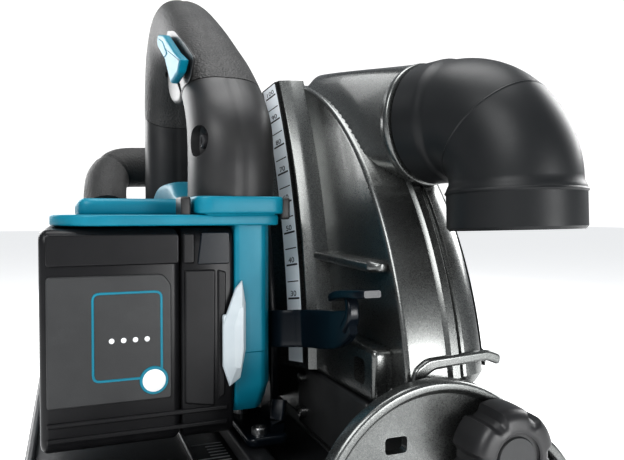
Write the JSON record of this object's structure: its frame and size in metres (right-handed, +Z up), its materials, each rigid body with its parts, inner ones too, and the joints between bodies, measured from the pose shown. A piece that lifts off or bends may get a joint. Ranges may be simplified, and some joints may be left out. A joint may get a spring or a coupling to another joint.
{
  "type": "track saw",
  "caption": "Cordless track saw: swinging saw head over a flat sole with a guide-rail groove, bevel quadrants, depth scale with clamp, retracting lower guard and a turning dust elbow",
  "frame": {"origin": "On the underside of the sole, 60 mm to the left of the blade plane, at the arbor's place along the cut.", "axes": "+Z up from the workpiece, +Y along the cut (forward), +X to the right of the user."},
  "size_m": [0.196, 0.4146, 0.3455],
  "materials": {
    "teal_plastic": "fine moulded grain",
    "black_rubber": "matt over-moulded grip",
    "black_plastic": "satin",
    "gloss_black": "gloss",
    "grey_plastic": "fine moulded grain",
    "silver_plastic": "satin",
    "gunmetal": "metallic paint on a magnesium casting",
    "cast_aluminium": "as cast, blasted",
    "sole_black": "black anodised casting",
    "steel": "ground",
    "gear_steel": "hardened, oiled",
    "copper": "varnished winding",
    "scale_silver": "printed foil",
    "red_plastic": "satin",
    "circuit_green": "solder mask"
  },
  "bodies": {
    "base": {"sole_plate": "sole_black", "bevel_quadrant_rear": "cast_aluminium", "bevel_quadrant_front": "cast_aluminium"},
    "rear_cam": {"rear_cam_knob": "black_plastic"},
    "front_cam": {"front_cam_knob": "black_plastic"},
    "tilt_frame": {"tilt_bracket_rear": "cast_aluminium", "tilt_bracket_front": "cast_aluminium", "tilt_bar": "cast_aluminium", "swing_pin": "steel", "depth_guide": "gloss_black", "depth_pointer": "red_plastic"},
    "rear_clamp": {"rear_knob": "black_plastic"},
    "front_clamp": {"front_knob": "black_plastic"},
    "head": {"case_left": "gunmetal", "case_right": "gunmetal", "depth_scale": "scale_silver", "dust_panel": "grey_plastic", "guard_spring": "steel", "gear_housing": "cast_aluminium", "gear_cover": "cast_aluminium", "arbor_bearing": "steel", "stator": "copper", "rotor_bearing_rear": "steel", "rotor_bearing_front": "steel", "motor_housing": "teal_plastic", "handle_left": "black_rubber", "handle_right": "black_rubber", "body_left": "teal_plastic", "body_right": "teal_plastic", "controller": "circuit_green", "terminal_block": "black_plastic", "front_handle": "black_rubber", "depth_clamp_bolt": "steel"},
    "spindle": {"saw_blade": "steel", "arbor_shaft": "steel", "inner_flange": "steel", "outer_flange": "steel", "blade_bolt": "gear_steel", "arbor_gear": "gear_steel"},
    "idler": {"idler_gear": "gear_steel"},
    "armature": {"rotor": "gear_steel", "rotor_pinion": "gear_steel", "cooling_fan": "black_plastic"},
    "guard": {"lower_guard": "cast_aluminium"},
    "elbow": {"dust_elbow": "black_rubber"},
    "switch": {"trigger": "black_plastic"},
    "lock_off": {"lock_off_lever": "teal_plastic"},
    "battery": {"battery_upper": "black_plastic", "battery_lower": "black_plastic", "battery_cells": "grey_plastic"},
    "release": {"battery_release": "silver_plastic"},
    "clamp_lever": {"depth_lever": "gloss_black"},
    "lock_button": {"spindle_lock": "black_plastic"}
  },
  "joints": [
    {"name": "bevel", "type": "hinge", "parent": "base", "child": "tilt_frame", "pos_m": [0.06, 0, 0], "axis": [0, 1, 0], "range_deg": [-1, 45]},
    {"name": "swing", "type": "hinge", "parent": "tilt_frame", "child": "head", "pos_m": [0.06, 0.186, 0.038], "axis": [-1, 0, 0], "range_deg": [0, 22.5]},
    {"name": "blade_spin", "type": "hinge", "parent": "head", "child": "spindle", "pos_m": [0.06, 0, 0.035], "axis": [1, 0, 0], "continuous": true},
    {"name": "idler_spin", "type": "hinge", "parent": "head", "child": "idler", "pos_m": [0.06, 0.01, 0.06249], "axis": [1, 0, 0], "continuous": true},
    {"name": "motor_spin", "type": "hinge", "parent": "head", "child": "armature", "pos_m": [0.06, 0.06774, 0.07581], "axis": [1, 0, 0], "continuous": true},
    {"name": "guard_open", "type": "hinge", "parent": "head", "child": "guard", "pos_m": [0.06, 0, 0.035], "axis": [-1, 0, 0], "range_deg": [0, 150], "stiffness_Nm_per_rad": 0.15, "springref_deg": -45.84},
    {"name": "elbow_turn", "type": "hinge", "parent": "head", "child": "elbow", "pos_m": [0.06, -0.119, 0.147], "axis": [0.2756, -0.9613, 0], "range_deg": [-120, 120]},
    {"name": "trigger_pull", "type": "hinge", "parent": "head", "child": "switch", "pos_m": [-0.0085, 0.05, 0.203], "axis": [-1, 0, 0], "range_deg": [0, 8], "stiffness_Nm_per_rad": 1.2, "springref_deg": -5.73},
    {"name": "lock_off_press", "type": "hinge", "parent": "head", "child": "lock_off", "pos_m": [-0.0255, -0.012, 0.197], "axis": [1, 0, 0], "range_deg": [0, 8], "stiffness_Nm_per_rad": 0.4, "springref_deg": -5.73},
    {"name": "battery_slide", "type": "slide", "parent": "head", "child": "battery", "axis": [0, -1, 0], "range_m": [0, 0.12]},
    {"name": "release_press", "type": "slide", "parent": "battery", "child": "release", "axis": [-1, 0, 0], "range_m": [0, 0.0025], "stiffness_N_per_m": 1500, "springref_m": -0.002},
    {"name": "depth_lever_turn", "type": "hinge", "parent": "head", "child": "clamp_lever", "pos_m": [0.01, -0.06231, 0.06235], "axis": [-1, 0, 0], "range_deg": [0, 40]},
    {"name": "spindle_lock_press", "type": "slide", "parent": "head", "child": "lock_button", "axis": [1, 0, 0], "range_m": [0, 0.0018], "stiffness_N_per_m": 1500, "springref_m": -0.002},
    {"name": "rear_clamp_turn", "type": "hinge", "parent": "tilt_frame", "child": "rear_clamp", "pos_m": [0.06, -0.156, 0.0345], "axis": [0, -1, 0], "range_deg": [0, 90]},
    {"name": "front_clamp_turn", "type": "hinge", "parent": "tilt_frame", "child": "front_clamp", "pos_m": [0.06, 0.217, 0.0345], "axis": [0, 1, 0], "range_deg": [0, 90]},
    {"name": "rear_cam_turn", "type": "hinge", "parent": "base", "child": "rear_cam", "pos_m": [-0.038, -0.118, 0], "axis": [0, 0, 1], "range_deg": [0, 60]},
    {"name": "front_cam_turn", "type": "hinge", "parent": "base", "child": "front_cam", "pos_m": [-0.038, 0.178, 0], "axis": [0, 0, 1], "range_deg": [0, 60]}
  ],
  "couplings": [
    {"joint": "idler_spin", "follows": "blade_spin", "ratio": -2},
    {"joint": "motor_spin", "follows": "blade_spin", "ratio": 9.2857}
  ]
}
